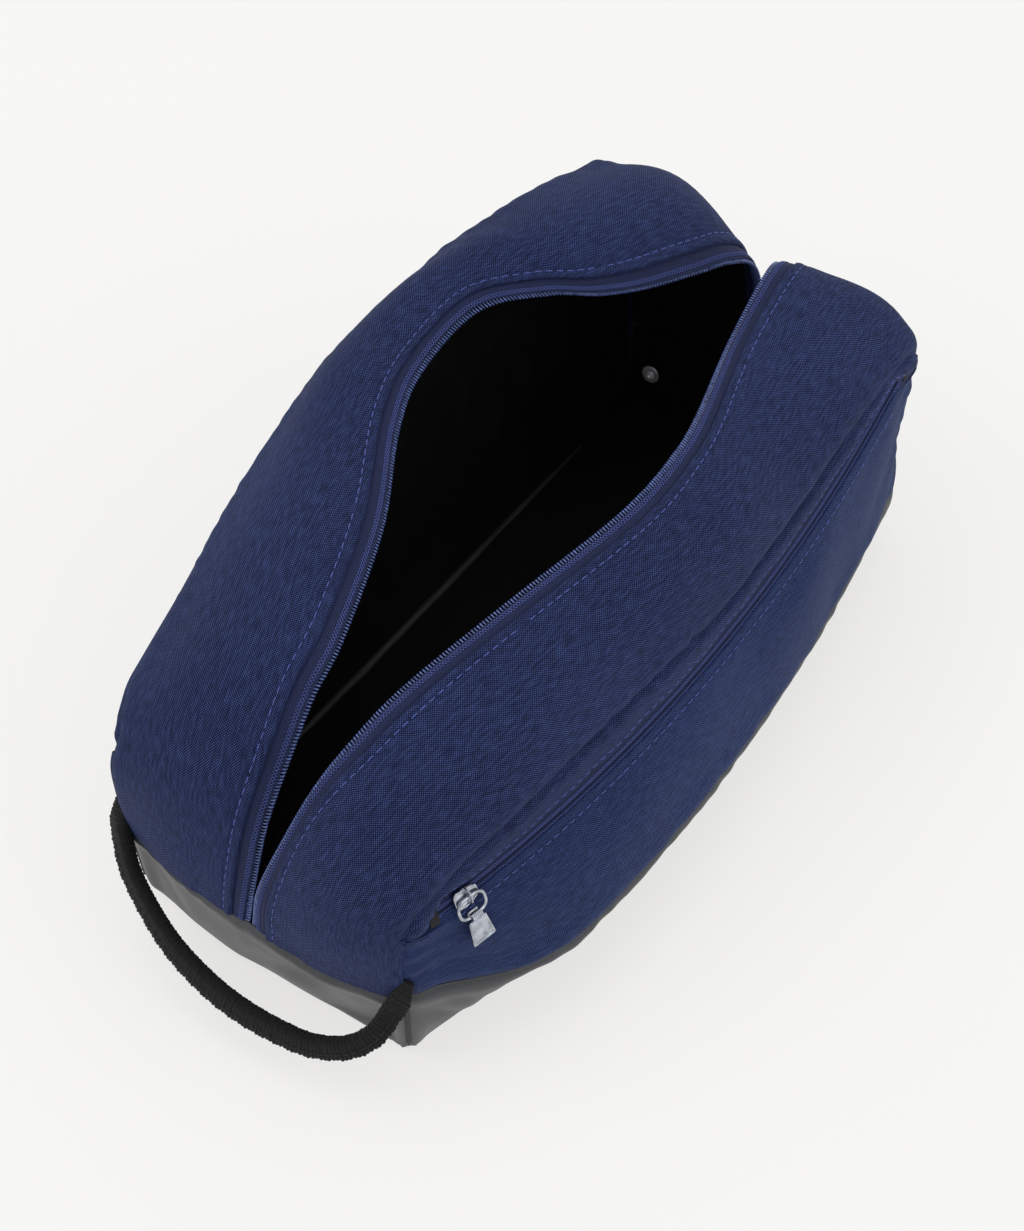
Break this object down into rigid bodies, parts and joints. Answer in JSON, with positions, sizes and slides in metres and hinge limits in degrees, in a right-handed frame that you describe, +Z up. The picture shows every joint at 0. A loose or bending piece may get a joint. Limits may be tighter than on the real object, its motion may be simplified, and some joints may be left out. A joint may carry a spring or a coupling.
{
  "type": "shoe bag",
  "caption": "Soft rectangular shoe bag with a zip over the whole top, drawn open, a zipped side pocket, a coated base and a webbing handle loop at one end.",
  "frame": {"origin": "centre of the base on the surface it stands on", "axes": "+X along the bag from the handle end to the far end, -Y the pocket side, +Z up"},
  "size_m": [0.3923, 0.2039, 0.164],
  "materials": {
    "navy_fabric": "navy woven polyester with a fine two-tone thread and a matt face",
    "pocket_fabric": "finer, slightly smoother navy woven polyester",
    "grey_base": "dark grey coated fabric, low sheen, fine grain",
    "lining": "black plain-weave lining",
    "board": "plain stiffener board",
    "zip_coil": "navy nylon coil, glossy",
    "zip_tape": "navy herringbone zip tape",
    "webbing": "black ribbed webbing",
    "nickel": "bright nickel plate"
  },
  "bodies": {
    "root": {"base_panel": "grey_base", "base_board": "board", "base_band_front": "grey_base", "base_band_back": "grey_base", "base_band_handle_end": "grey_base", "base_band_far_end": "grey_base", "side_panel_back": "navy_fabric", "pocket_panel": "pocket_fabric", "pocket_inner_wall": "navy_fabric", "front_upper_strip": "navy_fabric", "lining_floor": "lining", "lining_front": "lining", "lining_back": "lining", "lining_handle_end": "lining", "lining_far_end": "lining", "eyelet_back": "nickel", "eyelet_front": "nickel", "pocket_tape_upper": "zip_tape", "pocket_tape_lower": "zip_tape", "pocket_coil_upper": "zip_coil", "pocket_coil_lower": "zip_coil", "pocket_stop_handle_end": "zip_tape", "pocket_stop_far_end": "zip_tape", "handle_tail_front": "webbing", "handle_tail_back": "webbing", "gusset_front_handle_end": "navy_fabric", "lining_front_handle_end": "lining", "zip_tape_front_handle_end": "zip_tape", "zip_coil_front_handle_end": "zip_coil", "gusset_front_far_end": "navy_fabric", "lining_front_far_end": "lining", "zip_tape_front_far_end": "zip_tape", "zip_coil_front_far_end": "zip_coil", "gusset_back_handle_end": "navy_fabric", "lining_back_handle_end": "lining", "zip_tape_back_handle_end": "zip_tape", "zip_coil_back_handle_end": "zip_coil", "gusset_back_far_end": "navy_fabric", "lining_back_far_end": "lining", "zip_tape_back_far_end": "zip_tape", "zip_coil_back_far_end": "zip_coil"},
    "lip_front": {"gusset_front_lip": "navy_fabric", "lining_front_lip": "lining", "zip_tape_front_lip": "zip_tape", "zip_coil_front_lip": "zip_coil"},
    "lip_back": {"gusset_back_lip": "navy_fabric", "lining_back_lip": "lining", "zip_tape_back_lip": "zip_tape", "zip_coil_back_lip": "zip_coil"},
    "main_slider_body": {"main_slider": "nickel"},
    "main_pull_body": {"main_pull": "nickel"},
    "pocket_slider_body": {"pocket_slider": "nickel"},
    "pocket_ring_body": {"pocket_ring": "nickel"},
    "pocket_pull_body": {"pocket_pull": "nickel"},
    "handle_loop": {"handle_webbing": "webbing", "handle_core": "webbing"}
  },
  "joints": [
    {"name": "front_lip_fold", "type": "hinge", "parent": "root", "child": "lip_front", "pos_m": [0.02, -0.083, 0.109], "axis": [0.9995, 0.0141, 0.0294], "range_deg": [-10, 25]},
    {"name": "back_lip_fold", "type": "hinge", "parent": "root", "child": "lip_back", "pos_m": [0.02, 0.1, 0.136], "axis": [0.9901, 0.03, 0.137], "range_deg": [-12, 14]},
    {"name": "main_slider_travel", "type": "slide", "parent": "root", "child": "main_slider_body", "axis": [0, 0, 1], "range_m": [0, 0.013]},
    {"name": "main_pull_swing", "type": "hinge", "parent": "main_slider_body", "child": "main_pull_body", "pos_m": [0.1839, 0, 0.056], "axis": [0, -1, 0], "range_deg": [0, 150]},
    {"name": "pocket_slider_travel", "type": "hinge", "parent": "root", "child": "pocket_slider_body", "pos_m": [-0.01726, 0.62655, 0.46244], "axis": [-0.0533, -0.4631, 0.8847], "range_deg": [0, 20]},
    {"name": "pocket_ring_swing", "type": "hinge", "parent": "pocket_slider_body", "child": "pocket_ring_body", "pos_m": [-0.14568, -0.07818, 0.08832], "axis": [-0.9859, 0.1653, 0.0271], "range_deg": [0, 110]},
    {"name": "pocket_pull_swing", "type": "hinge", "parent": "pocket_ring_body", "child": "pocket_pull_body", "pos_m": [-0.14648, -0.08172, 0.08085], "axis": [-0.9859, 0.1653, 0.0271], "range_deg": [0, 90]},
    {"name": "handle_swing", "type": "hinge", "parent": "root", "child": "handle_loop", "pos_m": [-0.1852, 0, 0.0396], "axis": [0, 1, 0], "range_deg": [-8, 112]}
  ]
}
